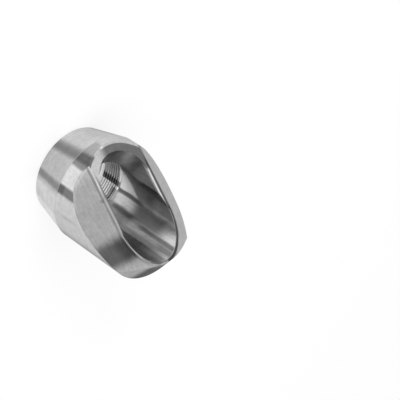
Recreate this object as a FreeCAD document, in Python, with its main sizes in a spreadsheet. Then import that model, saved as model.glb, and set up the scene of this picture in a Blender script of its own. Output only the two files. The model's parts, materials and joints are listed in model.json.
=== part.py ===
import FreeCAD, Part
import math
import os
import Sketcher

# Elbolet: a branch outlet fitting that is welded to the back of a pipe elbow.
# Its threaded collar end stands on the ground plane, with the outlet axis along +Z.
# The long tip of the slanting mouth points to +X, and the part is the same on both
# sides of the XZ plane.
# Lengths are in millimetres and angles in degrees.

doc = FreeCAD.newDocument("elbolet")

# Driving dimensions
DIMENSIONS = [
    ("body_radius", 38.0),  # straight belt of the turned body
    ("collar_radius", 31.7),  # flat face of the threaded end
    ("collar_height", 27.2),  # sharp edge where the tapered collar meets the belt
    ("collar_edge", 0.8),  # broken outer edge of the threaded end
    ("front_rim_height", 81.9),  # where the belt meets the turned cone of the front end
    ("front_angle", 37.5),  # fall of that cone towards the belt
    ("thread_radius", 24.1),  # threaded hole, to the roots of a 1 1/2 inch pipe thread
    ("lead_in_radius", 26.0),  # mouth of the threaded hole
    ("lead_in_angle", 30.0),  # its countersink, to the axis
    ("passage_radius", 20.5),  # smooth bore behind the thread
    ("passage_start", 27.0),  # height at which the smooth bore begins
    ("runout_angle", 30.0),  # cone from the thread down to the smooth bore, to the axis
    ("slant_radius", 19.1),  # round floor of the slot that opens the mouth to the short side
    ("slant_angle", 57.7),  # lean of that slot from the outlet axis
    ("slant_start", 39.1),  # height at which it leaves the outlet axis
    ("run_radius", 304.8),  # outside of the run pipe, 24 inch
    ("bend_radius", 914.4),  # centre line of its long-radius elbow
    ("saddle_angle", 46.4),  # slope of the saddle where the outlet axis meets it
    ("mouth_height", 71.0),  # height of that meeting point
    ("bevel_half_width", 22.6),  # from the middle plane to a weld bevel, at the saddle
    ("bevel_angle", 37.5),  # weld bevel to the saddle
]

# Working clearances of the cutting forms
DIMENSIONS += [
    ("cut_rise", 3.5),  # how far the bevel form reaches above the saddle
    ("cut_depth", 110.0),  # how far it reaches below, past the collar
    ("cut_back", 160.0),  # how far it reaches behind the short side
    ("cut_half_width", 79.0),  # half width of the run pipe's profile
    ("cut_height", 60.0),  # height of that profile above the saddle
    ("cut_turn", 12.0),  # turn of that profile about the bend axis
    ("slant_length", 80.0),  # length of the slot's form
]

dims = doc.addObject("Spreadsheet::Sheet", "dims")
for row, (name, value) in enumerate(DIMENSIONS, start=1):
    dims.set("A%d" % row, name)
    dims.set("B%d" % row, str(value))
    dims.setAlias("B%d" % row, name)
doc.recompute()

SIZE = dict(DIMENSIONS)


def origin_plane(body, role):
    """The body's own origin plane of that role."""
    for feature in body.Origin.OriginFeatures:
        if feature.Role == role:
            return feature


def profile_sketch(body, name):
    """An empty sketch on the XZ plane: across the page is X, up the page is Z."""
    sketch = body.newObject("Sketcher::SketchObject", name)
    sketch.AttachmentSupport = (origin_plane(body, "XZ_Plane"), [""])
    sketch.MapMode = "FlatFace"
    return sketch


def closed_outline(sketch, points):
    """Straight lines through the points in turn and back to the first, joined end to end."""
    corners = [FreeCAD.Vector(x, y, 0) for x, y in points]
    count = len(corners)
    for i in range(count):
        line = Part.LineSegment(corners[i], corners[(i + 1) % count])
        sketch.addGeometry(line, False)
    for i in range(count):
        sketch.addConstraint(Sketcher.Constraint("Coincident", i, 2, (i + 1) % count, 1))


def place_point(sketch, line, across, up):
    """Holds the start of a line at two distances from the sketch's origin."""
    for kind, formula in (("DistanceX", across), ("DistanceY", up)):
        if formula is None:
            on_axis = -2 if kind == "DistanceX" else -1
            sketch.addConstraint(Sketcher.Constraint("PointOnObject", line, 1, on_axis))
            continue
        index = sketch.addConstraint(Sketcher.Constraint(kind, -1, 1, line, 1, 1.0))
        sketch.setExpression("Constraints[%d]" % index, formula)


def outline_from_formulas(sketch, corners, start):
    """Closed outline whose corners are each held by two formulas; start is the first drawing."""
    closed_outline(sketch, start)
    for line, (across, up) in enumerate(corners):
        place_point(sketch, line, across, up)


# Turned body: collar, belt and conical front end in one revolved outline
body = doc.addObject("PartDesign::Body", "turned_body")

TAN_FRONT = math.tan(math.radians(SIZE["front_angle"]))
TAN_RUNOUT = math.tan(math.radians(SIZE["runout_angle"]))
TAN_LEAD_IN = math.tan(math.radians(SIZE["lead_in_angle"]))

outline = profile_sketch(body, "body_outline")
outline_from_formulas(
    outline,
    [
        (None, None),
        ("dims.collar_radius - dims.collar_edge", None),
        ("dims.collar_radius", "dims.collar_edge"),
        ("dims.body_radius", "dims.collar_height"),
        ("dims.body_radius", "dims.front_rim_height"),
        (None, "dims.front_rim_height + dims.body_radius * tan(dims.front_angle * 1 deg)"),
    ],
    [
        (0, 0),
        (SIZE["collar_radius"] - SIZE["collar_edge"], 0),
        (SIZE["collar_radius"], SIZE["collar_edge"]),
        (SIZE["body_radius"], SIZE["collar_height"]),
        (SIZE["body_radius"], SIZE["front_rim_height"]),
        (0, SIZE["front_rim_height"] + SIZE["body_radius"] * TAN_FRONT),
    ],
)
doc.recompute()

turned = body.newObject("PartDesign::Revolution", "turned_outside")
turned.Profile = outline
turned.ReferenceAxis = (outline, ["V_Axis"])
turned.Angle = 360.0
doc.recompute()

# Straight hole through it: lead-in, threaded hole, run-out cone and smooth bore
TOP = "dims.front_rim_height + dims.body_radius"
TOP_START = SIZE["front_rim_height"] + SIZE["body_radius"]
RUNOUT = (SIZE["thread_radius"] - SIZE["passage_radius"]) / TAN_RUNOUT
LEAD_IN = (SIZE["lead_in_radius"] - SIZE["thread_radius"]) / TAN_LEAD_IN

hole = profile_sketch(body, "hole_outline")
outline_from_formulas(
    hole,
    [
        (None, None),
        ("dims.lead_in_radius", None),
        (
            "dims.thread_radius",
            "(dims.lead_in_radius - dims.thread_radius) / tan(dims.lead_in_angle * 1 deg)",
        ),
        (
            "dims.thread_radius",
            "dims.passage_start"
            " - (dims.thread_radius - dims.passage_radius) / tan(dims.runout_angle * 1 deg)",
        ),
        ("dims.passage_radius", "dims.passage_start"),
        ("dims.passage_radius", TOP),
        (None, TOP),
    ],
    [
        (0, 0),
        (SIZE["lead_in_radius"], 0),
        (SIZE["thread_radius"], LEAD_IN),
        (SIZE["thread_radius"], SIZE["passage_start"] - RUNOUT),
        (SIZE["passage_radius"], SIZE["passage_start"]),
        (SIZE["passage_radius"], TOP_START),
        (0, TOP_START),
    ],
)
doc.recompute()

bored = body.newObject("PartDesign::Groove", "through_hole")
bored.Profile = hole
bored.ReferenceAxis = (hole, ["V_Axis"])
bored.Angle = 360.0
doc.recompute()

# Flat sides of the slanting slot: above the slot's axis and on the short side of the outlet axis
lean = math.radians(SIZE["slant_angle"])
slot_back = SIZE["slant_length"] * math.sin(lean)
slot_rise = SIZE["slant_length"] * math.cos(lean)

sides = profile_sketch(body, "slot_sides")
outline_from_formulas(
    sides,
    [
        (None, "dims.slant_start"),
        (None, TOP),
        ("-1 * dims.slant_length * sin(dims.slant_angle * 1 deg)", TOP),
        (
            "-1 * dims.slant_length * sin(dims.slant_angle * 1 deg)",
            "dims.slant_start + dims.slant_length * cos(dims.slant_angle * 1 deg)",
        ),
    ],
    [
        (0, SIZE["slant_start"]),
        (0, TOP_START),
        (-slot_back, TOP_START),
        (-slot_back, SIZE["slant_start"] + slot_rise),
    ],
)
doc.recompute()

slotted = body.newObject("PartDesign::Pocket", "slot_opening")
slotted.Profile = sides
slotted.Midplane = True
slotted.setExpression("Length", "2 * dims.slant_radius")
body.Tip = slotted
doc.recompute()

# Weld bevels: a form with two flat flanks that meet in an elliptical cone round the tip.
# It is drawn in two planes parallel to the saddle, and its section grows from one to the other.


def bevel_sketch(name, depth_formula, depth):
    """D-shaped section of the bevel form, at a depth below the saddle point on the axis."""
    sketch = doc.addObject("Sketcher::SketchObject", name)
    slope = math.radians(SIZE["saddle_angle"])
    half = SIZE["bevel_half_width"] + depth / math.tan(math.radians(SIZE["bevel_angle"]))
    reach = half / math.cos(slope)
    back = SIZE["cut_back"]
    ellipse = Part.Ellipse(FreeCAD.Vector(0, 0, 0), reach, half)
    sketch.addGeometry(Part.ArcOfEllipse(ellipse, -math.pi / 2, math.pi / 2), False)
    sketch.exposeInternalGeometry(0)
    long_axis, short_axis = 1, 2
    first = len(sketch.Geometry)
    points = [(0, half), (-back, half), (-back, -half), (0, -half)]
    for (x0, y0), (x1, y1) in zip(points, points[1:]):
        ends = (FreeCAD.Vector(x0, y0, 0), FreeCAD.Vector(x1, y1, 0))
        sketch.addGeometry(Part.LineSegment(*ends), False)
    # the arc is centred on the origin, and its ends lie on the short axis
    sketch.addConstraint(Sketcher.Constraint("Coincident", 0, 3, -1, 1))
    sketch.addConstraint(Sketcher.Constraint("PointOnObject", long_axis, 1, -1))
    sketch.addConstraint(Sketcher.Constraint("Coincident", 0, 2, first, 1))
    sketch.addConstraint(Sketcher.Constraint("Coincident", first, 2, first + 1, 1))
    sketch.addConstraint(Sketcher.Constraint("Coincident", first + 1, 2, first + 2, 1))
    sketch.addConstraint(Sketcher.Constraint("Coincident", first + 2, 2, 0, 1))
    sketch.addConstraint(Sketcher.Constraint("PointOnObject", 0, 2, -2))
    sketch.addConstraint(Sketcher.Constraint("PointOnObject", 0, 1, -2))
    sketch.addConstraint(Sketcher.Constraint("Horizontal", first))
    sketch.addConstraint(Sketcher.Constraint("Vertical", first + 1))
    sketch.addConstraint(Sketcher.Constraint("Horizontal", first + 2))
    wide = "(dims.bevel_half_width + (%s) / tan(dims.bevel_angle * 1 deg))" % depth_formula
    held = [
        ("Distance", (long_axis,), "2 * %s / cos(dims.saddle_angle * 1 deg)" % wide),
        ("Distance", (short_axis,), "2 * %s" % wide),
        ("Distance", (first,), "dims.cut_back"),
    ]
    for kind, which, formula in held:
        length = sketch.Geometry[which[0]].length()
        index = sketch.addConstraint(Sketcher.Constraint(kind, *which, length))
        sketch.setExpression("Constraints[%d]" % index, formula)
    sketch.setExpression(
        ".Placement.Base.x", "(%s) * sin(dims.saddle_angle * 1 deg)" % depth_formula
    )
    sketch.setExpression(
        ".Placement.Base.z",
        "dims.mouth_height - (%s) * cos(dims.saddle_angle * 1 deg)" % depth_formula,
    )
    turn = FreeCAD.Rotation(FreeCAD.Vector(0, 1, 0), -SIZE["saddle_angle"])
    sketch.Placement = FreeCAD.Placement(FreeCAD.Vector(0, 0, 0), turn)
    sketch.setExpression(".Placement.Rotation.Angle", "-1 deg * dims.saddle_angle")
    return sketch


upper = bevel_sketch("bevel_upper", "-1 * dims.cut_rise", -SIZE["cut_rise"])
lower = bevel_sketch("bevel_lower", "dims.cut_depth", SIZE["cut_depth"])
doc.recompute()

bevels = doc.addObject("Part::Loft", "bevel_form")
bevels.Sections = [lower, upper]
bevels.Solid = True
bevels.Ruled = True
doc.recompute()

# Saddle: the outside of the run pipe's elbow, a pipe profile turned about the bend axis


def run_pipe_sketch(name):
    """Part of the run pipe's circle, closed by three lines; its origin is the saddle point."""
    sketch = doc.addObject("Sketcher::SketchObject", name)
    radius, half, top = SIZE["run_radius"], SIZE["cut_half_width"], SIZE["cut_height"]
    sag = radius - math.sqrt(radius**2 - half**2)
    swing = math.asin(half / radius)
    circle = Part.Circle(FreeCAD.Vector(radius, 0, 0), FreeCAD.Vector(0, 0, 1), radius)
    sketch.addGeometry(Part.ArcOfCircle(circle, math.pi - swing, math.pi + swing), False)
    points = [(sag, -half), (top, -half), (top, half), (sag, half)]
    for (x0, y0), (x1, y1) in zip(points, points[1:]):
        ends = (FreeCAD.Vector(x0, y0, 0), FreeCAD.Vector(x1, y1, 0))
        sketch.addGeometry(Part.LineSegment(*ends), False)
    for line in range(4):
        sketch.addConstraint(Sketcher.Constraint("Coincident", line, 2, (line + 1) % 4, 1))
    sketch.addConstraint(Sketcher.Constraint("Horizontal", 1))
    sketch.addConstraint(Sketcher.Constraint("Vertical", 2))
    sketch.addConstraint(Sketcher.Constraint("Horizontal", 3))
    sketch.addConstraint(Sketcher.Constraint("PointOnObject", 0, 3, -1))
    held = [
        (("Radius", 0, radius), "dims.run_radius"),
        (("DistanceX", -1, 1, 0, 3, radius), "dims.run_radius"),
        (("DistanceY", -1, 1, 2, 2, half), "dims.cut_half_width"),
        (("DistanceY", 2, 1, -1, 1, half), "dims.cut_half_width"),
        (("DistanceX", -1, 1, 2, 2, top), "dims.cut_height"),
    ]
    for constraint, formula in held:
        index = sketch.addConstraint(Sketcher.Constraint(*constraint))
        sketch.setExpression("Constraints[%d]" % index, formula)
    return sketch


run = run_pipe_sketch("run_profile")
run.setExpression(".Placement.Base.z", "dims.mouth_height")
lean_back = FreeCAD.Rotation(FreeCAD.Vector(0, 1, 0), -90.0 - SIZE["saddle_angle"])
run.Placement = FreeCAD.Placement(FreeCAD.Vector(0, 0, 0), lean_back)
run.setExpression(".Placement.Rotation.Angle", "-90 deg - 1 deg * dims.saddle_angle")
doc.recompute()

elbow = doc.addObject("Part::Revolution", "run_elbow")
elbow.Source = run
elbow.Solid = True
elbow.Symmetric = True
elbow.Axis = FreeCAD.Vector(0, 1, 0)
elbow.setExpression("Angle", "dims.cut_turn")
REACH = "(dims.run_radius + dims.bend_radius)"
elbow.setExpression("Base.x", "-1 * %s * sin(dims.saddle_angle * 1 deg)" % REACH)
elbow.setExpression("Base.z", "dims.mouth_height + %s * cos(dims.saddle_angle * 1 deg)" % REACH)
doc.recompute()

# Round floor of the slot, from the outlet axis out through the short side of the mouth
slant = doc.addObject("Part::Cylinder", "slot_floor")
slant.setExpression("Radius", "dims.slant_radius")
slant.setExpression("Height", "dims.slant_length")
tilt = FreeCAD.Rotation(FreeCAD.Vector(0, 1, 0), -SIZE["slant_angle"])
slant.Placement = FreeCAD.Placement(FreeCAD.Vector(0, 0, 0), tilt)
slant.setExpression(".Placement.Base.z", "dims.slant_start")
slant.setExpression(".Placement.Rotation.Angle", "-1 deg * dims.slant_angle")
doc.recompute()

# The fitting: the turned body inside the bevel form, less the run pipe and the slot's floor
bevelled = doc.addObject("Part::Common", "bevelled_body")
bevelled.Base = body
bevelled.Tool = bevels
doc.recompute()

saddled = doc.addObject("Part::Cut", "saddled_body")
saddled.Base = bevelled
saddled.Tool = elbow
doc.recompute()

fitting = doc.addObject("Part::Cut", "elbolet_body")
fitting.Base = saddled
fitting.Tool = slant
fitting.Refine = True
doc.recompute()

# Every object is sound, and the fitting is one closed solid
for item in doc.Objects:
    if "Invalid" in item.State or "Error" in item.State:
        raise RuntimeError("not computed: " + item.Name)
for item in (body, bevels, elbow, slant, bevelled, saddled, fitting):
    if item.Shape.isNull() or not item.Shape.isValid():
        raise RuntimeError("bad shape: " + item.Name)
if len(fitting.Shape.Solids) != 1:
    raise RuntimeError("the fitting is not one solid")

os.makedirs("parts", exist_ok=True)
fitting.Shape.Solids[0].exportStep("parts/elbolet_body.step")
print("volume %.0f mm3" % fitting.Shape.Volume)
box = fitting.Shape.BoundBox
print("x %.2f %.2f y %.2f %.2f z %.2f %.2f" % (box.XMin, box.XMax, box.YMin, box.YMax, box.ZMin, box.ZMax))
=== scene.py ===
import json
import math

import bpy
import numpy as np
from bpy.props import FloatProperty, FloatVectorProperty, IntProperty, PointerProperty
from bpy.types import Operator, Panel, PropertyGroup
from mathutils import Matrix, Vector

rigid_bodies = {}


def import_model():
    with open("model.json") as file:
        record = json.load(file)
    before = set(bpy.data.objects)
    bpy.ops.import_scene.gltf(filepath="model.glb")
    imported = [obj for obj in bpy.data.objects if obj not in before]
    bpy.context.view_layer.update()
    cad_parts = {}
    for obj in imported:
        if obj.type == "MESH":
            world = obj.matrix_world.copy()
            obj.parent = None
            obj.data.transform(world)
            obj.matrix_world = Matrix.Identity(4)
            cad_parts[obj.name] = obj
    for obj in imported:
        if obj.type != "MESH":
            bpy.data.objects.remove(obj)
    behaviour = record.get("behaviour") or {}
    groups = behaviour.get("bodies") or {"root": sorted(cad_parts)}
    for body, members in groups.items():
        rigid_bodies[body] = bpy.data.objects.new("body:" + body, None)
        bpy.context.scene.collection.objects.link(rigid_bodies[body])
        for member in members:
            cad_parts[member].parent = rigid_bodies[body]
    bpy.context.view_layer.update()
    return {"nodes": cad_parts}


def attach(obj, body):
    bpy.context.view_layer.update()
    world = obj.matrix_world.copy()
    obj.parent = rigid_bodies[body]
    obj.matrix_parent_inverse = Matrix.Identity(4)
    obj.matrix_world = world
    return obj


bl_info = {
    "name": "Elbolet",
    "version": (1, 0, 0),
    "blender": (4, 5, 0),
    "location": "View3D > Sidebar > Elbolet",
    "description": "Dresses a machined branch outlet with its pipe thread, its steel and a studio",
    "category": "Object",
}

for leftover in list(bpy.data.objects):
    bpy.data.objects.remove(leftover)

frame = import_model()
BODY = "elbolet_body"
MM = 0.001


# Sizes and colours that a user would change


class ThreadSizes(PropertyGroup):
    """Taper pipe thread in the collar end."""

    pitch: FloatProperty(
        name="Pitch", description="Rise of one turn", default=2.2088 * MM, unit="LENGTH"
    )
    crest_radius: FloatProperty(
        name="Crest radius", description="Smallest radius of the thread, at the end face",
        default=22.26 * MM, unit="LENGTH",
    )
    depth: FloatProperty(
        name="Depth", description="Height of the thread, crest to root",
        default=1.767 * MM, unit="LENGTH",
    )
    wall_radius: FloatProperty(
        name="Wall radius", description="Plain wall that carries the thread",
        default=24.1 * MM, unit="LENGTH",
    )
    first_turn: FloatProperty(
        name="First turn", description="Height at which the lead-in cone meets the crests",
        default=7.8 * MM, unit="LENGTH",
    )
    full_length: FloatProperty(
        name="Full thread", description="Height at which the turns start to fade",
        default=18.0 * MM, unit="LENGTH",
    )
    columns: IntProperty(
        name="Columns", description="Points round one turn", default=288, min=64, max=512
    )


class SteelLooks(PropertyGroup):
    """Bare machined steel."""

    tint: FloatVectorProperty(
        name="Tint", description="Colour of the bare steel", default=(0.47, 0.47, 0.474),
        subtype="COLOR", min=0.0, max=1.0,
    )
    roughness: FloatProperty(
        name="Roughness", description="Roughness of the turned skin", default=0.36,
        subtype="FACTOR", min=0.0, max=1.0,
    )
    grain: FloatProperty(
        name="Grain", description="Strength of the tool marks", default=0.35,
        subtype="FACTOR", min=0.0, max=1.0,
    )


class StudioLooks(PropertyGroup):
    """Floor, lamps and camera."""

    lens: FloatProperty(
        name="Lens", description="Focal length on a 36 mm sensor, in mm", default=129.815
    )
    camera_place: FloatVectorProperty(
        name="Camera place", description="Where the camera stands",
        default=(-0.53363, -0.53300, 0.60774), subtype="TRANSLATION", unit="LENGTH",
    )
    sky: FloatProperty(
        name="Sky", description="Brightness of the room", default=1.0, min=0.0
    )


# Mesh helper


def grid_mesh(name, points, wrap_rows=True):
    """Closed quad mesh of a grid of points (columns, rows, 3), both ways round in a ring."""
    columns, rows = points.shape[:2]
    i = np.arange(columns)[:, None]
    j = np.arange(rows)[None, :]
    here = i * rows + j
    right = ((i + 1) % columns) * rows + j
    up = i * rows + (j + 1) % rows
    corner = ((i + 1) % columns) * rows + (j + 1) % rows
    faces = np.stack([here, right, corner, up], axis=-1).reshape(-1, 4)
    mesh = bpy.data.meshes.new(name)
    mesh.vertices.add(columns * rows)
    mesh.vertices.foreach_set("co", points.reshape(-1).astype(np.float32))
    mesh.loops.add(faces.size)
    mesh.loops.foreach_set("vertex_index", faces.reshape(-1).astype(np.int32))
    mesh.polygons.add(len(faces))
    mesh.polygons.foreach_set("loop_start", np.arange(0, faces.size, 4, dtype=np.int32))
    mesh.polygons.foreach_set("loop_total", np.full(len(faces), 4, dtype=np.int32))
    mesh.update(calc_edges=True)
    mesh.validate()
    return mesh


# Node helpers


def node(tree, kind, inputs=None, **settings):
    """Adds a node; inputs maps socket names or numbers to sockets or plain values."""
    made = tree.nodes.new(kind)
    for key, value in settings.items():
        setattr(made, key, value)
    for key, value in (inputs or {}).items():
        if isinstance(value, bpy.types.NodeSocket):
            tree.links.new(value, made.inputs[key])
        else:
            made.inputs[key].default_value = value
    return made


def calc(tree, operation, *values, clamp=False):
    """Math node on the given sockets or numbers."""
    made = tree.nodes.new("ShaderNodeMath")
    made.operation = operation
    made.use_clamp = clamp
    for socket, value in zip(made.inputs, values):
        if isinstance(value, bpy.types.NodeSocket):
            tree.links.new(value, socket)
        else:
            socket.default_value = value
    return made.outputs[0]


def ramp(tree, value, low, high, start=0.0, end=1.0):
    """Smooth change from start to end as value goes from low to high."""
    made = node(
        tree,
        "ShaderNodeMapRange",
        {"Value": value, "From Min": low, "From Max": high, "To Min": start, "To Max": end},
        interpolation_type="SMOOTHSTEP",
    )
    return made.outputs[0]


def new_group(name, inputs, outputs):
    """Empty shader node group with float sockets; a name that ends in Vector is a vector."""
    tree = bpy.data.node_groups.new(name, "ShaderNodeTree")
    for label in inputs:
        kind = "NodeSocketVector" if label.endswith("Vector") else "NodeSocketFloat"
        tree.interface.new_socket(label, in_out="INPUT", socket_type=kind)
    for label in outputs:
        kind = "NodeSocketVector" if label.endswith("Vector") else "NodeSocketFloat"
        tree.interface.new_socket(label, in_out="OUTPUT", socket_type=kind)
    return tree, tree.nodes.new("NodeGroupInput"), tree.nodes.new("NodeGroupOutput")


def use_group(tree, group, **inputs):
    """Places a node group and feeds it."""
    made = tree.nodes.new("ShaderNodeGroup")
    made.node_tree = group
    for key, value in inputs.items():
        label = key.replace("_", " ")
        if isinstance(value, bpy.types.NodeSocket):
            tree.links.new(value, made.inputs[label])
        else:
            made.inputs[label].default_value = value
    return made


# Geometry of the fitting that the tool marks and the painted light and shade follow, in
# millimetres and radians

SADDLE_SLOPE = math.radians(46.4)
MOUTH_HEIGHT = 71.0
BEVEL_HALF_WIDTH = 22.6
BEVEL_FALL = math.tan(math.radians(37.5))
BELT_RADIUS = 38.0
COLLAR_RADIUS = 31.7
COLLAR_HEIGHT = 27.2
FRONT_RIM = 81.9
FRONT_FALL = math.tan(math.radians(37.5))
BORE_RADIUS = 20.5
RUN_RADIUS = 304.8
BEND_OUTER_RADIUS = 1219.2
DEGREE = math.radians(1.0)
FAR_OFF = 50.0

# Steel at a grazing angle, and the softer and glossier surfaces

GRAZING_TINT = (0.75, 0.75, 0.75, 1.0)
BEVEL_SOFTER = 0.1
INSIDE_GLOSSIER = 0.06
THREAD_ROUGHNESS = 0.25
# Painted highlight on the thread's crests, painted shade in its roots and painted highlight on the
# lead-in countersink.
CREST_PAINTED_HIGHLIGHT = 1.80
ROOT_PAINTED_SHADE = 0.75
LEAD_IN_PAINTED_HIGHLIGHT = 2.1

# Sleeve of the pipe thread

SLEEVE_START = 3.1 * MM
SLEEVE_END = 25.4 * MM
CONE_START = 20.7 * MM
CONE_FALL = math.tan(math.radians(30))
RUNOUT_FALL = 0.42
MOUTH_GAP = 0.1 * MM
BACK_LAP = 0.25 * MM
ROWS_PER_TURN = 16
TAPER_LENGTH = 32.0
TOOTH_FLAT = 0.05

# Studio

FLOOR_HALF = 3.0
FLOOR_TONE = 0.90
FLOOR_GLOW = 0.70
LAMP_SIDE = 0.5
LAMP_TARGET = (0.0, 0.0, 0.045)
LAMPS = (
    ("key_panel", (-0.75, -0.20, 0.35), 3.0),
    ("fill_panel", (0.15, -0.70, 0.55), 1.0),
)
CAMERA_RIGHT = (-0.0787406, 0.7130889, 0.6966378)
CAMERA_UP = (-0.8224080, 0.3484847, -0.4496705)
CAMERA_BACK = (-0.5634226, -0.6083278, 0.5590101)


def region_group():
    """Coordinates that follow the fitting's surfaces, and a mask for each of its surfaces.

    Radius and Angle are cylindrical about the outlet axis; Turn is Angle counted from the
    other side, for the outside. Along is measured up the slope of the saddle from the outlet
    axis. Depth is square to it, into the metal:
    depth = -N.(P - M) + y^2 / (2 run radius) + along^2 / (2 outer radius of the bend).
    Width is hypot(y, along cos(slope)), and a bevel is where it equals half width + flat
    depth / tan(bevel angle). Near Depth is Depth on the -Y side and far off on the other.
    """
    tree, given, result = new_group(
        "fitting_regions",
        ["Place Vector"],
        ["Radius", "Angle", "Turn", "Height", "Side", "Along", "Depth", "Width", "Near Depth",
         "End", "Collar", "Belt", "Front", "Land", "Bevel", "Inside"],
    )

    def add(a, b):
        return calc(tree, "ADD", a, b)

    def take(a, b):
        return calc(tree, "SUBTRACT", a, b)

    def times(a, b):
        return calc(tree, "MULTIPLY", a, b)

    def fits(distance, low=0.12, high=0.3):
        return ramp(tree, calc(tree, "ABSOLUTE", distance), low, high, 1.0, 0.0)

    place = node(tree, "ShaderNodeVectorMath", {0: given.outputs[0], 1: (1000.0,) * 3},
                 operation="MULTIPLY").outputs[0]
    x, y, z = node(tree, "ShaderNodeSeparateXYZ", {0: place}).outputs[:3]
    radius = calc(tree, "SQRT", add(times(x, x), times(y, y)))
    angle = calc(tree, "ARCTAN2", y, x)
    past = calc(tree, "GREATER_THAN", angle, 0.7)
    turn = take(angle, times(past, 2.0 * math.pi))
    rise = take(z, MOUTH_HEIGHT)
    along = add(times(x, math.cos(SADDLE_SLOPE)), times(rise, math.sin(SADDLE_SLOPE)))
    flat = take(times(x, math.sin(SADDLE_SLOPE)), times(rise, math.cos(SADDLE_SLOPE)))
    across_fall = times(times(y, y), 1.0 / (2.0 * RUN_RADIUS))
    along_fall = times(times(along, along), 1.0 / (2.0 * BEND_OUTER_RADIUS))
    depth = add(flat, add(across_fall, along_fall))
    ahead = times(calc(tree, "MAXIMUM", along, 0.0), math.cos(SADDLE_SLOPE))
    width = calc(tree, "SQRT", add(times(ahead, ahead), times(y, y)))
    left = 1.0
    masks = []
    collar_wall = add(COLLAR_RADIUS, times(z, (BELT_RADIUS - COLLAR_RADIUS) / COLLAR_HEIGHT))
    shapes = (
        fits(depth, 0.1, 0.25),
        fits(take(width, add(times(flat, 1.0 / BEVEL_FALL), BEVEL_HALF_WIDTH))),
        times(fits(take(take(z, FRONT_RIM), times(take(BELT_RADIUS, radius), FRONT_FALL))),
              ramp(tree, z, FRONT_RIM - 0.5, FRONT_RIM)),
        times(ramp(tree, radius, BELT_RADIUS - 0.35, BELT_RADIUS - 0.15),
              ramp(tree, z, COLLAR_HEIGHT - 0.2, COLLAR_HEIGHT + 0.2)),
        times(ramp(tree, z, 0.03, 0.12, 1.0, 0.0), ramp(tree, radius, 25.8, 26.0)),
        ramp(tree, take(radius, collar_wall), -1.2, -0.6),
        1.0,
    )
    for shape in shapes:
        masks.append(times(left, shape))
        left = take(left, masks[-1])
    land, bevel, front, belt, end, collar, inside = masks
    far = times(calc(tree, "GREATER_THAN", y, 0.0), FAR_OFF)
    values = [radius, angle, turn, z, y, along, depth, width, add(depth, far),
              end, collar, belt, front, land, bevel, inside]
    for socket, value in zip(result.inputs, values):
        tree.links.new(value, socket)
    return tree


def grain_group():
    """Tool marks: noise drawn out along one direction, from -1 to 1.

    Across is the coordinate that the marks are narrow in, Run the one they are long in.
    """
    tree, given, result = new_group("tool_marks", ["Across", "Run", "Fineness", "Reach"],
                                    ["Marks"])
    across = calc(tree, "MULTIPLY", given.outputs["Across"], given.outputs["Fineness"])
    run = calc(tree, "MULTIPLY", given.outputs["Run"], given.outputs["Reach"])
    spot = node(tree, "ShaderNodeCombineXYZ", {0: across, 1: run, 2: 3.7}).outputs[0]
    noise = node(tree, "ShaderNodeTexNoise",
                 {"Vector": spot, "Scale": 1.0, "Detail": 3.0, "Roughness": 0.6},
                 noise_dimensions="3D")
    marks = calc(tree, "MULTIPLY_ADD", noise.outputs[0], 2.0, -1.0)
    tree.links.new(marks, result.inputs[0])
    return tree


def patch_group():
    """Soft-edged patch in two coordinates U and V: 1 inside, 0 outside.

    It spans From to To in U with soft ends of width Edge, and Low to High in V with soft
    ends of width Fade. Low and High rise by Lean for each unit of U past From.
    """
    tree, given, result = new_group(
        "soft_patch",
        ["U", "V", "From", "To", "Edge", "Low", "High", "Fade", "Lean"],
        ["Patch"],
    )
    pick = given.outputs

    def slope(value, start, width):
        step = calc(tree, "DIVIDE", calc(tree, "SUBTRACT", value, start), width)
        return ramp(tree, step, -0.5, 0.5)

    rise = calc(tree, "MULTIPLY", calc(tree, "SUBTRACT", pick["U"], pick["From"]), pick["Lean"])
    level = calc(tree, "SUBTRACT", pick["V"], rise)
    first = calc(tree, "MULTIPLY", slope(pick["U"], pick["From"], pick["Edge"]),
                 slope(pick["To"], pick["U"], pick["Edge"]))
    second = calc(tree, "MULTIPLY", slope(level, pick["Low"], pick["Fade"]),
                  slope(pick["High"], level, pick["Fade"]))
    tree.links.new(calc(tree, "MULTIPLY", first, second), result.inputs[0])
    return tree


# Lighter and darker patches painted on each surface: painted reflections, highlights and shade
# of the studio on the steel. Each row has its U span and edge, its V span and edge, its lean and
# its gain.
# On round surfaces U is degrees round the axis and V the height in mm.
# On the bevel U is mm up the slope and V the near depth in mm.
# On the rim, which is land and bevel, U is degrees round the axis and V the width in mm.
# On the short side U is mm up the slope and V mm to the side.
# On the outer edge of bevel and land, the edge and the lip, V is the radius in mm.
# On the wall next to the rim V is the depth in mm. The matt patch has no gain.

# Painted reflections: light and dark streaks round the collar.
COLLAR_PAINTED_REFLECTIONS = [
    (-156.5, -143.5, 7.0, -5.0, 27.0, 2.0, 0.0, -0.45),
    (-152.5, -146.0, 5.0, -5.0, 27.0, 2.0, 0.0, -0.18),
    (-116.5, -108.5, 5.0, -5.0, 27.0, 2.0, 0.0, -0.50),
    (-230.0, -203.0, 6.0, -5.0, 22.0, 4.0, 0.0, -0.52),
    (-199.0, -159.0, 6.0, -5.0, 27.5, 2.0, 0.0, 0.18),
    (-103.0, -30.0, 10.0, -5.0, 27.5, 2.0, 0.0, 0.30),
    (-80.0, -30.0, 10.0, -5.0, 27.5, 2.0, 0.0, 0.25),
]
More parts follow.
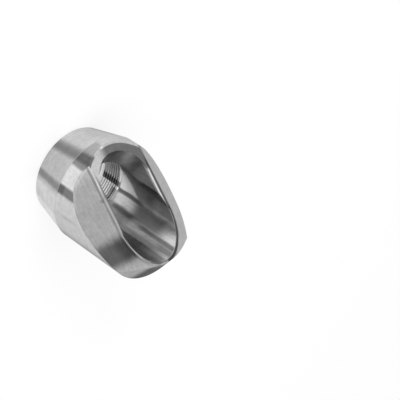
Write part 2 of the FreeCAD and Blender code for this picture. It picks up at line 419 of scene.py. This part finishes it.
# Painted reflections: light and dark streaks round the belt.
BELT_PAINTED_REFLECTIONS = [
    (-173.0, -155.0, 7.0, 26.0, 70.0, 0.5, 0.0, -0.32),
    (-156.5, -146.0, 6.0, 26.0, 70.0, 0.5, 0.0, -0.76),
    (-148.0, -139.5, 4.0, 26.0, 70.0, 0.5, 0.0, -0.55),
    (-139.5, -118.0, 3.5, 26.0, 70.0, 0.5, 0.0, 0.22),
    (-117.5, -108.5, 3.5, 26.0, 70.0, 0.5, 0.0, -0.66),
    (-117.0, -109.0, 3.5, 26.0, 32.0, 2.0, 0.0, -0.35),
    (-89.5, -85.5, 2.5, 35.0, 49.0, 5.0, 0.0, -0.14),
    (-62.0, 40.0, 14.0, 26.0, 95.0, 3.0, 0.0, -0.45),
]
# Painted highlight along the outer edge of the bevel.
EDGE_PAINTED_HIGHLIGHT = [
    (-150.0, -104.0, 10.0, 37.1, 39.0, 0.8, 0.0, 0.20),
]
# Painted highlight and a painted dark reflection on the lip.
LIP_PAINTED_REFLECTIONS = [
    (-225.0, -170.0, 6.0, 36.9, 39.0, 0.5, 0.0, 2.10),
    (-158.0, -140.0, 5.0, 37.0, 39.0, 0.5, 0.0, -0.70),
]
# Painted shade on the front cone.
FRONT_PAINTED_SHADE = [
    (-80.0, -34.0, 10.0, 60.0, 100.0, 2.0, 0.0, -0.15),
    (-31.0, 60.0, 14.0, 60.0, 100.0, 2.0, 0.0, -0.86),
]
# Matt, non-metal spot on the front cone that stays dark, as painted shade.
FRONT_MATT_SHADE = (-24.0, 14.0, 14.0, 60.0, 90.5, 3.0, 0.0)
# Painted reflections and shade on the bevel.
BEVEL_PAINTED_REFLECTIONS = [
    (-60.0, -37.0, 7.0, -5.0, 30.0, 2.0, 0.0, 0.15),
    (-60.0, 20.0, 6.0, 0.5, 30.0, 2.0, 0.0, -0.20),
    (3.5, 20.5, 8.0, -5.0, 30.0, 2.0, 0.0, -0.66),
    (6.0, 19.0, 6.0, -5.0, 5.0, 5.0, 0.0, -0.45),
    (26.0, 30.0, 3.0, -5.0, 30.0, 2.0, 0.0, 0.10),
    (31.5, 40.0, 2.0, -5.0, 7.0, 2.0, 0.0, -0.45),
    (-50.0, 20.0, 6.0, 48.0, 51.5, 2.2, 0.0, -0.55),
    (-22.5, -20.5, 1.5, 0.5, 2.2, 1.0, 0.0, -0.30),
]
# Painted reflections on the short side of the rim.
SHORT_SIDE_PAINTED_REFLECTIONS = [
    (-60.0, -28.0, 3.0, -6.0, 40.0, 6.0, 0.0, -0.62),
    (-60.0, -27.0, 6.0, -30.0, -9.0, 6.0, 0.0, 0.35),
]
# Painted reflections and shade along the land and bevel of the rim.
RIM_PAINTED_REFLECTIONS = [
    (-150.0, -84.0, 6.0, 21.6, 22.8, 0.5, 0.0, -0.38),
    (-142.0, -90.0, 8.0, 17.0, 20.3, 0.6, 0.0, -0.55),
    (-86.0, -32.0, 8.0, 19.5, 21.5, 0.5, 0.0, -0.80),
    (-32.0, -10.0, 8.0, 19.5, 22.0, 0.5, 0.0, -0.66),
    (-90.0, -44.0, 8.0, 21.6, 22.4, 0.4, 0.0, 0.30),
    (-84.0, -50.0, 8.0, 22.6, 23.3, 0.5, 0.0, -0.40),
    (-50.0, -30.0, 8.0, 21.6, 23.2, 0.5, 0.0, -0.25),
    (-12.0, 3.0, 6.0, 20.9, 21.5, 0.4, 0.0, -0.60),
    (-12.0, 3.0, 6.0, 22.0, 22.9, 0.4, 0.0, 0.35),
    (4.0, 92.0, 6.0, 20.9, 22.5, 0.5, 0.0, -0.84),
    (93.0, 136.0, 4.0, 18.0, 20.45, 0.4, 0.0, 0.50),
    (88.0, 140.0, 6.0, 20.5, 22.5, 0.6, 0.0, -0.75),
    (30.0, 140.0, 10.0, 22.9, 60.0, 0.6, 0.0, 0.30),
]
# Painted reflections and shade inside the bore.
BORE_PAINTED_LIGHT_AND_SHADE = [
    (-60.0, 1.0, 6.0, 30.0, 120.0, 5.0, 0.0, -0.35),
    (3.0, 25.0, 6.0, 46.0, 72.0, 10.0, 0.0, 0.45),
    (10.0, 22.0, 5.0, 79.0, 120.0, 6.0, 0.0, -0.35),
    (22.5, 32.0, 5.0, 57.0, 120.0, 10.0, 0.0, -0.62),
    (8.0, 21.0, 5.0, 64.0, 120.0, 8.0, 0.0, -0.26),
    (-30.0, -1.0, 6.0, 58.0, 84.0, 8.0, 0.0, 0.30),
    (32.0, 56.0, 6.0, 77.0, 120.0, 14.0, 0.0, 0.42),
    (33.0, 64.0, 9.0, 47.0, 74.0, 9.0, 0.0, -0.45),
    (28.0, 38.0, 7.0, 28.0, 50.0, 8.0, 0.0, -0.64),
    (40.0, 61.0, 7.0, 26.0, 45.0, 8.0, 0.0, 0.90),
    (60.0, 68.0, 4.0, 20.0, 50.0, 8.0, 0.0, -0.62),
    (68.0, 112.0, 4.0, 22.0, 44.5, 4.0, -0.44, 1.20),
    (68.0, 175.0, 6.0, 46.0, 170.0, 4.0, -0.44, -0.25),
    (74.0, 91.0, 8.0, 41.0, 57.0, 8.0, 0.0, -0.30),
    (95.0, 112.0, 8.0, 44.0, 62.0, 8.0, 0.0, -0.35),
    (60.0, 92.0, 8.0, 60.0, 120.0, 8.0, 0.0, 0.70),
]
# Painted highlight on the bore's edge next to the rim.
WALL_RIM_PAINTED_HIGHLIGHT = [
    (100.0, 140.0, 8.0, -1.0, 1.6, 0.8, 0.0, 1.60),
]
# Painted light and shade streaks on the thread.
THREAD_PAINTED_LIGHT_AND_SHADE = [
    (20.0, 65.5, 2.5, -2.0, 30.0, 1.0, 0.0, 0.60),
    (65.5, 75.5, 2.5, -2.0, 30.0, 1.0, 0.0, -0.72),
    (0.0, 61.0, 4.0, 19.5, 40.0, 1.0, 0.0, -0.60),
    (0.0, 40.0, 8.0, 19.5, 40.0, 1.0, 0.0, -0.45),
]


# Base tone of each surface: partly its own machining, partly painted light and shade for how that
# face is lit.
SURFACE_TONES_AND_SHADE = [
    ("Collar", 1.10), ("Belt", 1.22), ("Front", 0.95), ("End", 1.0),
    ("Land", 0.88), ("Bevel", 0.76), ("Inside", 1.02),
]


def soft_patch(tree, row, u, v, scale=1.0):
    """Places one soft patch; scale turns the row's U values into those of u."""
    start, stop, edge, low, high, fade, lean = row
    return use_group(
        tree, bpy.data.node_groups["soft_patch"], U=u, V=v,
        From=start * scale, To=stop * scale, Edge=edge * scale,
        Low=low, High=high, Fade=fade, Lean=lean / scale,
    ).outputs[0]


class ToneWithPaintedLight:
    """Builds the tone of a steel surface out of masks and patches of painted light and shade, in
    one material's tree.
    """

    def __init__(self, tree, spots):
        self.tree = tree
        self.spots = spots
        self.tone = 1.0

    def weighed(self, pairs):
        """Sum of mask times value over the surfaces."""
        total = 0.0
        for mask, value in pairs:
            total = calc(self.tree, "MULTIPLY_ADD", self.spots[mask], value, total)
        return total

    def apply(self, patches, u, v, mask=None, scale=1.0):
        """Multiplies the tone by 1 + gain where a patch lies on the masked surface."""
        tree = self.tree
        if isinstance(mask, str):
            mask = self.spots[mask]
        for *row, gain in patches:
            patch = soft_patch(tree, row, u, v, scale)
            if mask:
                patch = calc(tree, "MULTIPLY", patch, mask)
            change = calc(tree, "MULTIPLY_ADD", patch, gain, 1.0)
            self.tone = calc(tree, "MULTIPLY", self.tone, change)


def new_steel(name):
    """Empty metal material; gives its tree, its shader and the fitting's coordinates."""
    material = bpy.data.materials.new(name)
    material.use_nodes = True
    tree = material.node_tree
    tree.nodes.clear()
    out = tree.nodes.new("ShaderNodeOutputMaterial")
    shader = tree.nodes.new("ShaderNodeBsdfPrincipled")
    shader.inputs["Metallic"].default_value = 1.0
    shader.inputs["Specular Tint"].default_value = GRAZING_TINT
    tree.links.new(shader.outputs[0], out.inputs[0])
    place = tree.nodes.new("ShaderNodeTexCoord").outputs["Object"]
    spots = use_group(tree, bpy.data.node_groups["fitting_regions"], Place_Vector=place).outputs
    return material, tree, shader, place, spots


def finish_steel(tree, shader, looks, tone, grain, place):
    """Colour from the tone, with faint cloudiness, and a bump from the tool marks."""
    cloud = node(tree, "ShaderNodeTexNoise",
                 {"Vector": place, "Scale": 260.0, "Detail": 5.0, "Roughness": 0.75}).outputs[0]
    cloud = calc(tree, "MULTIPLY_ADD", cloud, 0.60, 0.70)
    tone = calc(tree, "MULTIPLY", tone, cloud)
    tone = calc(tree, "MULTIPLY", tone, calc(tree, "MULTIPLY_ADD", grain, 0.8 * looks.grain, 1.0))
    colour = node(tree, "ShaderNodeVectorMath", {0: tuple(looks.tint), "Scale": tone},
                  operation="SCALE").outputs[0]
    tree.links.new(colour, shader.inputs["Base Color"])
    bump = node(tree, "ShaderNodeBump",
                {"Strength": looks.grain, "Distance": 0.03 * MM, "Height": grain})
    tree.links.new(bump.outputs[0], shader.inputs["Normal"])


def body_material(looks):
    """Turned, ground and bored steel of the body, each surface with its own marks, and painted
    reflections, highlights and shade on its tone.
    """
    material, tree, shader, place, spots = new_steel("machined_steel_with_painted_reflections")
    marks = bpy.data.node_groups["tool_marks"]

    def cut(across, run, fineness, reach):
        return use_group(tree, marks, Across=across, Run=run,
                         Fineness=fineness, Reach=reach).outputs[0]

    turned = cut(spots["Height"], spots["Turn"], 2.2, 1.2)
    rings = cut(spots["Radius"], spots["Turn"], 2.5, 1.2)
    ground = cut(spots["Side"], spots["Along"], 1.3, 0.09)
    arc = calc(tree, "MULTIPLY", spots["Angle"], BORE_RADIUS)
    drawn = cut(arc, spots["Height"], 0.6, 0.03)
    tone_with_painted_light = ToneWithPaintedLight(tree, spots)
    drift = node(tree, "ShaderNodeTexNoise", {"Vector": place, "Scale": 70.0, "Detail": 2.0})
    drift = calc(tree, "SUBTRACT", drift.outputs[0], 0.5)
    angle = calc(tree, "MULTIPLY_ADD", drift, math.radians(7.0), spots["Angle"])
    turn = calc(tree, "MULTIPLY_ADD", drift, math.radians(2.5), spots["Turn"])
    along = calc(tree, "MULTIPLY_ADD", drift, 3.5, spots["Along"])
    grain = tone_with_painted_light.weighed([
        ("Collar", turned), ("Belt", turned), ("Front", rings), ("End", rings),
        ("Land", ground), ("Bevel", ground), ("Inside", drawn),
    ])
    # Base tone of each surface, then painted reflections, highlights and shade, surface by
    # surface.
    tone_with_painted_light.tone = tone_with_painted_light.weighed(SURFACE_TONES_AND_SHADE)
    tone_with_painted_light.apply(COLLAR_PAINTED_REFLECTIONS, turn, spots["Height"], "Collar", DEGREE)
    tone_with_painted_light.apply(BELT_PAINTED_REFLECTIONS, turn, spots["Height"], "Belt", DEGREE)
    tone_with_painted_light.apply(FRONT_PAINTED_SHADE, turn, spots["Height"], "Front", DEGREE)
    tone_with_painted_light.apply(EDGE_PAINTED_HIGHLIGHT, turn, spots["Radius"], "Bevel", DEGREE)
    tone_with_painted_light.apply(BEVEL_PAINTED_REFLECTIONS, along, spots["Near Depth"], "Bevel")
    tone_with_painted_light.apply(SHORT_SIDE_PAINTED_REFLECTIONS, spots["Along"], spots["Side"], "Land")
    tone_with_painted_light.apply(LIP_PAINTED_REFLECTIONS, turn, spots["Radius"], "Land", DEGREE)
    rim = tone_with_painted_light.weighed([("Land", 1.0), ("Bevel", 1.0)])
    tone_with_painted_light.apply(RIM_PAINTED_REFLECTIONS, spots["Angle"], spots["Width"], rim, DEGREE)
    tone_with_painted_light.apply(BORE_PAINTED_LIGHT_AND_SHADE, angle, spots["Height"], "Inside", DEGREE)
    tone_with_painted_light.apply(WALL_RIM_PAINTED_HIGHLIGHT, angle, spots["Depth"], "Inside", DEGREE)
    bands = cut(spots["Turn"], 0.0, 7.0, 0.0)
    outside = tone_with_painted_light.weighed([("Collar", 1.0), ("Belt", 1.0)])
    bands = calc(tree, "MULTIPLY_ADD", calc(tree, "MULTIPLY", bands, outside), 0.10, 1.0)
    tone_with_painted_light.tone = calc(tree, "MULTIPLY", tone_with_painted_light.tone, bands)
    rough = looks.roughness
    roughness = tone_with_painted_light.weighed([
        ("Collar", rough), ("Belt", rough), ("Front", rough), ("End", rough),
        ("Land", rough), ("Bevel", rough + BEVEL_SOFTER), ("Inside", rough - INSIDE_GLOSSIER),
    ])
    roughness = calc(tree, "MULTIPLY_ADD", grain, 0.08, roughness, clamp=True)
    # Matt, non-metal spot on the front cone: it stays dark there, as painted shade.
    matt = soft_patch(tree, FRONT_MATT_SHADE, turn, spots["Height"], DEGREE)
    matt = calc(tree, "MULTIPLY", matt, spots["Front"])
    roughness = calc(tree, "MULTIPLY_ADD", matt, 0.5, roughness, clamp=True)
    metallic = calc(tree, "SUBTRACT", 1.0, matt)
    tree.links.new(metallic, shader.inputs["Metallic"])
    tree.links.new(roughness, shader.inputs["Roughness"])
    finish_steel(tree, shader, looks, tone_with_painted_light.tone, grain, place)
    return material


def thread_material(looks, size):
    """Threaded steel: painted highlights on the crests, painted shade in the roots and a painted
    highlight on the countersink.
    """
    material, tree, shader, place, spots = new_steel("threaded_steel_with_painted_light")
    tone_with_painted_light = ToneWithPaintedLight(tree, spots)
    height, radius = spots["Height"], spots["Radius"]
    crest = calc(tree, "MULTIPLY_ADD", height, -1.0 / TAPER_LENGTH, size.crest_radius / MM)
    rise = calc(tree, "SUBTRACT", radius, crest)
    # Painted highlight on the crests, painted shade in the roots.
    tone_with_painted_light.tone = ramp(tree, rise, 0.2, 1.3, CREST_PAINTED_HIGHLIGHT, ROOT_PAINTED_SHADE)
    tone_with_painted_light.apply(THREAD_PAINTED_LIGHT_AND_SHADE, spots["Angle"], height, scale=DEGREE)
    # Painted highlight on the lead-in countersink.
    first = size.first_turn / MM
    lead_in_highlight_mask = ramp(tree, height, first - 0.5, first + 0.1, 1.0, 0.0)
    lead_in = calc(tree, "MULTIPLY_ADD", lead_in_highlight_mask, -1.0, 1.0)
    tone_with_painted_light.tone = calc(tree, "MULTIPLY", tone_with_painted_light.tone, lead_in)
    tone_with_painted_light.tone = calc(tree, "MULTIPLY_ADD", lead_in_highlight_mask, LEAD_IN_PAINTED_HIGHLIGHT, tone_with_painted_light.tone)
    shader.inputs["Roughness"].default_value = THREAD_ROUGHNESS
    colour = node(tree, "ShaderNodeVectorMath", {0: tuple(looks.tint), "Scale": tone_with_painted_light.tone},
                  operation="SCALE").outputs[0]
    tree.links.new(colour, shader.inputs["Base Color"])
    return material


class ELBOLET_OT_body_finish(Operator):
    """Gives the forged body its machined steel, with painted reflections, highlights and shade"""

    bl_idname = "elbolet.body_finish"
    bl_label = "Body finish"

    def execute(self, context):
        region_group()
        grain_group()
        patch_group()
        body = frame["nodes"][BODY]
        steel = body_material(context.scene.elbolet_steel)
        for slot in body.material_slots:
            slot.material = steel
        return {"FINISHED"}


class ELBOLET_OT_thread(Operator):
    """Cuts the taper pipe thread, as a sleeve let into the plain hole of the body"""

    bl_idname = "elbolet.thread"
    bl_label = "Pipe thread"

    def execute(self, context):
        """Sleeve r(z, angle): r = crest(z) + depth * tooth(phase), phase = z / pitch - turn.

        tooth is a V of 60 degrees with small flats, and crest falls by 1 in TAPER_LENGTH.
        The roots are cut short by a cone where the thread runs out, and a lead-in cone
        opens the first turns. The sleeve's back lies just inside the metal of the body.
        """
        size = context.scene.elbolet_thread
        turn = np.linspace(0.0, 1.0, size.columns, endpoint=False)[:, None]
        angle = 2.0 * np.pi * turn
        rows = int(ROWS_PER_TURN * (SLEEVE_END - SLEEVE_START) / size.pitch)
        z = np.linspace(SLEEVE_START, SLEEVE_END, rows)[None, :]
        crest = size.crest_radius - z / TAPER_LENGTH
        phase = (z / size.pitch - turn) % 1.0
        rise = 1.0 - np.abs(2.0 * phase - 1.0)
        tooth = np.clip((1.0 + 2.0 * TOOTH_FLAT) * rise - TOOTH_FLAT, 0.0, 1.0)
        root = crest + size.depth * tooth
        runout = size.crest_radius + size.depth - (z - size.full_length) * RUNOUT_FALL
        inner = np.maximum(np.minimum(root, runout), crest)
        opening = (size.wall_radius + MOUTH_GAP - crest) / (size.first_turn - SLEEVE_START)
        lead_in = crest + (size.first_turn - z) * opening
        inner = np.maximum(inner, lead_in)
        z = z + 0.0 * turn
        back = size.wall_radius + BACK_LAP - np.maximum(z - CONE_START, 0.0) * CONE_FALL
        outer = back[:, ::-8]
        outer_z = z[:, ::-8]
        radius = np.concatenate([inner, outer], axis=1)
        height = np.concatenate([z, outer_z], axis=1)
        points = np.stack(
            [radius * np.cos(angle), radius * np.sin(angle), height], axis=-1
        )
        mesh = grid_mesh("pipe_thread", points[::-1])
        mesh.polygons.foreach_set("use_smooth", np.ones(len(mesh.polygons), dtype=bool))
        thread = bpy.data.objects.new("pipe_thread", mesh)
        context.scene.collection.objects.link(thread)
        mesh.materials.append(thread_material(context.scene.elbolet_steel, size))
        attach(thread, "root")
        return {"FINISHED"}


class ELBOLET_OT_stage(Operator):
    """Sets the pale floor, the soft lamps and the camera"""

    bl_idname = "elbolet.stage"
    bl_label = "Studio"

    def execute(self, context):
        looks = context.scene.elbolet_studio
        self.floor()
        self.sky(context.scene, looks.sky)
        for name, place, power in LAMPS:
            self.lamp(name, place, power)
        self.camera(context.scene, looks)
        return {"FINISHED"}

    def floor(self):
        """Flat pale floor that looks white in full light and keeps a soft shadow."""
        half = FLOOR_HALF
        corners = [(-half, -half, 0), (half, -half, 0), (half, half, 0), (-half, half, 0)]
        mesh = bpy.data.meshes.new("floor")
        mesh.from_pydata(corners, [], [(0, 1, 2, 3)])
        floor = bpy.data.objects.new("floor", mesh)
        bpy.context.scene.collection.objects.link(floor)
        material = bpy.data.materials.new("pale_floor")
        material.use_nodes = True
        tree = material.node_tree
        tree.nodes.clear()
        out = tree.nodes.new("ShaderNodeOutputMaterial")
        tone = (FLOOR_TONE, FLOOR_TONE, FLOOR_TONE, 1.0)
        matt = node(tree, "ShaderNodeBsdfDiffuse", {"Color": tone})
        glow = node(tree, "ShaderNodeEmission", {"Color": (1, 1, 1, 1), "Strength": 1.0})
        path = tree.nodes.new("ShaderNodeLightPath")
        seen = calc(tree, "MAXIMUM", path.outputs["Is Camera Ray"], path.outputs["Is Glossy Ray"])
        seen = calc(tree, "MAXIMUM", seen, path.outputs["Is Transmission Ray"])
        share = calc(tree, "MULTIPLY", seen, FLOOR_GLOW)
        mix = node(tree, "ShaderNodeMixShader",
                   {0: share, 1: matt.outputs[0], 2: glow.outputs[0]})
        tree.links.new(mix.outputs[0], out.inputs[0])
        mesh.materials.append(material)

    def sky(self, scene, strength):
        """Even white room."""
        world = bpy.data.worlds.new("studio_room")
        world.use_nodes = True
        tree = world.node_tree
        tree.nodes.clear()
        out = tree.nodes.new("ShaderNodeOutputWorld")
        room = node(tree, "ShaderNodeBackground", {0: (1, 1, 1, 1), 1: strength})
        tree.links.new(room.outputs[0], out.inputs[0])
        scene.world = world

    def lamp(self, name, place, power):
        """Square soft lamp aimed at the middle of the fitting."""
        light = bpy.data.lights.new(name, "AREA")
        light.shape = "RECTANGLE"
        light.size = light.size_y = LAMP_SIDE
        light.energy = power
        lamp = bpy.data.objects.new(name, light)
        lamp.location = place
        aim = Vector(LAMP_TARGET) - Vector(place)
        lamp.rotation_euler = aim.to_track_quat("-Z", "Y").to_euler()
        bpy.context.scene.collection.objects.link(lamp)

    def camera(self, scene, looks):
        """Camera at the photograph's angle: its own right, up and back axes."""
        data = bpy.data.cameras.new("camera")
        data.sensor_width = 36.0
        data.lens = looks.lens
        data.clip_start = 0.05
        camera = bpy.data.objects.new("camera", data)
        turn = Matrix((CAMERA_RIGHT, CAMERA_UP, CAMERA_BACK)).transposed().to_4x4()
        camera.matrix_world = Matrix.Translation(Vector(looks.camera_place)) @ turn
        scene.collection.objects.link(camera)
        scene.camera = camera
        scene.view_settings.view_transform = "Standard"


class ELBOLET_PT_panel(Panel):
    """Lists the pieces and the studio."""

    bl_label = "Elbolet"
    bl_idname = "ELBOLET_PT_panel"
    bl_space_type = "VIEW_3D"
    bl_region_type = "UI"
    bl_category = "Elbolet"

    def draw(self, context):
        layout = self.layout
        groups = (
            (context.scene.elbolet_steel, ELBOLET_OT_body_finish),
            (context.scene.elbolet_thread, ELBOLET_OT_thread),
            (context.scene.elbolet_studio, ELBOLET_OT_stage),
        )
        for settings, operator in groups:
            box = layout.box()
            for name in type(settings).__annotations__:
                box.prop(settings, name)
            box.operator(operator.bl_idname)


CLASSES = (
    ThreadSizes,
    SteelLooks,
    StudioLooks,
    ELBOLET_OT_body_finish,
    ELBOLET_OT_thread,
    ELBOLET_OT_stage,
    ELBOLET_PT_panel,
)


def register():
    for item in CLASSES:
        bpy.utils.register_class(item)
    bpy.types.Scene.elbolet_thread = PointerProperty(type=ThreadSizes)
    bpy.types.Scene.elbolet_steel = PointerProperty(type=SteelLooks)
    bpy.types.Scene.elbolet_studio = PointerProperty(type=StudioLooks)


def unregister():
    del bpy.types.Scene.elbolet_studio
    del bpy.types.Scene.elbolet_steel
    del bpy.types.Scene.elbolet_thread
    for item in reversed(CLASSES):
        bpy.utils.unregister_class(item)


def main():
    register()
    bpy.ops.elbolet.body_finish()
    bpy.ops.elbolet.thread()
    bpy.ops.elbolet.stage()


if __name__ == "__main__":
    main()
